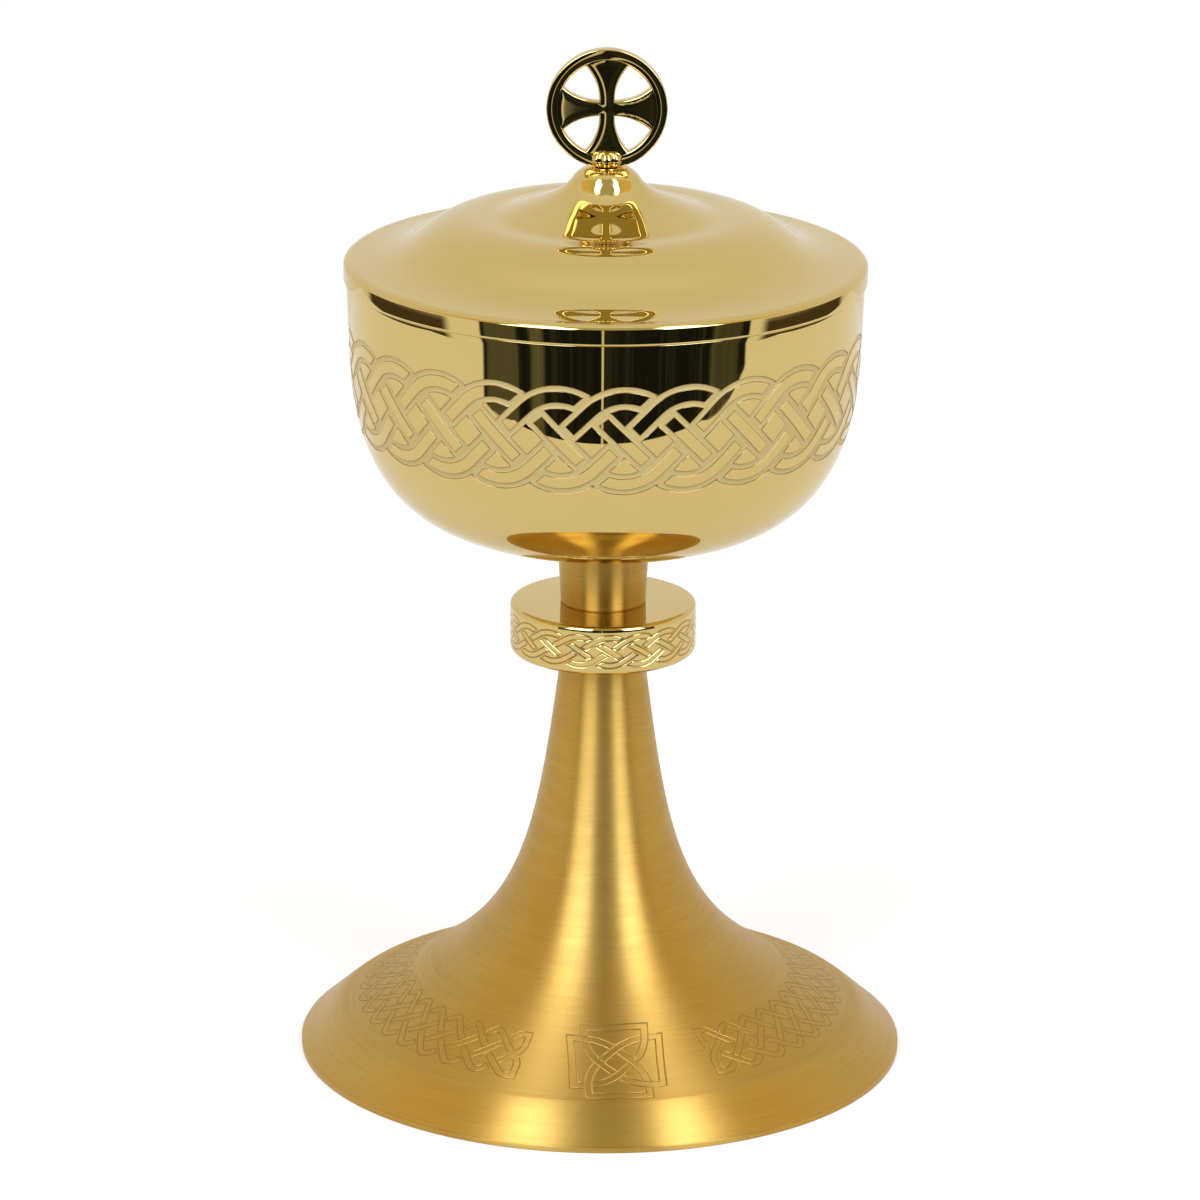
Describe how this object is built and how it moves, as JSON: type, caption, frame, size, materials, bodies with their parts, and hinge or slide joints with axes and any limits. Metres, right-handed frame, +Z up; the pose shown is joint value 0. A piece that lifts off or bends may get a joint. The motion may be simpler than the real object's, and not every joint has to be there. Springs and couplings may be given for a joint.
{
  "type": "ciborium",
  "caption": "Gilt brass ciborium: engraved round bowl on a banded knop and a satin trumpet foot, with a loose lid that lifts off by its wheel-cross finial.",
  "frame": {"origin": "centre of the foot's underside, on the table", "axes": "+Z up along the axis of the vessel, -Y towards the face of the wheel cross"},
  "size_m": [0.144, 0.144, 0.2451],
  "materials": {
    "polished_gilt": "mirror-polished gilt brass",
    "satin_gilt": "gilt brass, satin brushed round the axis",
    "plain_brass": "turned brass, unpolished"
  },
  "bodies": {
    "stand": {"foot_shell": "satin_gilt", "foot_rim_ring": "satin_gilt", "foot_neck_plug": "plain_brass", "tie_rod": "plain_brass", "tie_rod_washer": "plain_brass", "tie_rod_lock_washer": "plain_brass", "tie_rod_nut": "plain_brass", "knop": "polished_gilt", "stem_collar": "satin_gilt", "bowl": "polished_gilt", "bowl_boss": "plain_brass"},
    "lid_seat": {"lid_flange": "polished_gilt"},
    "lid": {"lid_shell": "polished_gilt", "finial_knuckle": "polished_gilt", "wheel_ring": "polished_gilt", "wheel_cross": "polished_gilt", "finial_washer": "plain_brass", "finial_lock_washer": "plain_brass", "finial_nut": "plain_brass"}
  },
  "joints": [
    {"name": "lid_lift", "type": "slide", "parent": "stand", "child": "lid_seat", "axis": [0, 0, 1], "range_m": [0, 0.08]},
    {"name": "lid_turn", "type": "hinge", "parent": "lid_seat", "child": "lid", "pos_m": [0, 0, 0.19], "axis": [0, 0, 1], "continuous": true}
  ]
}
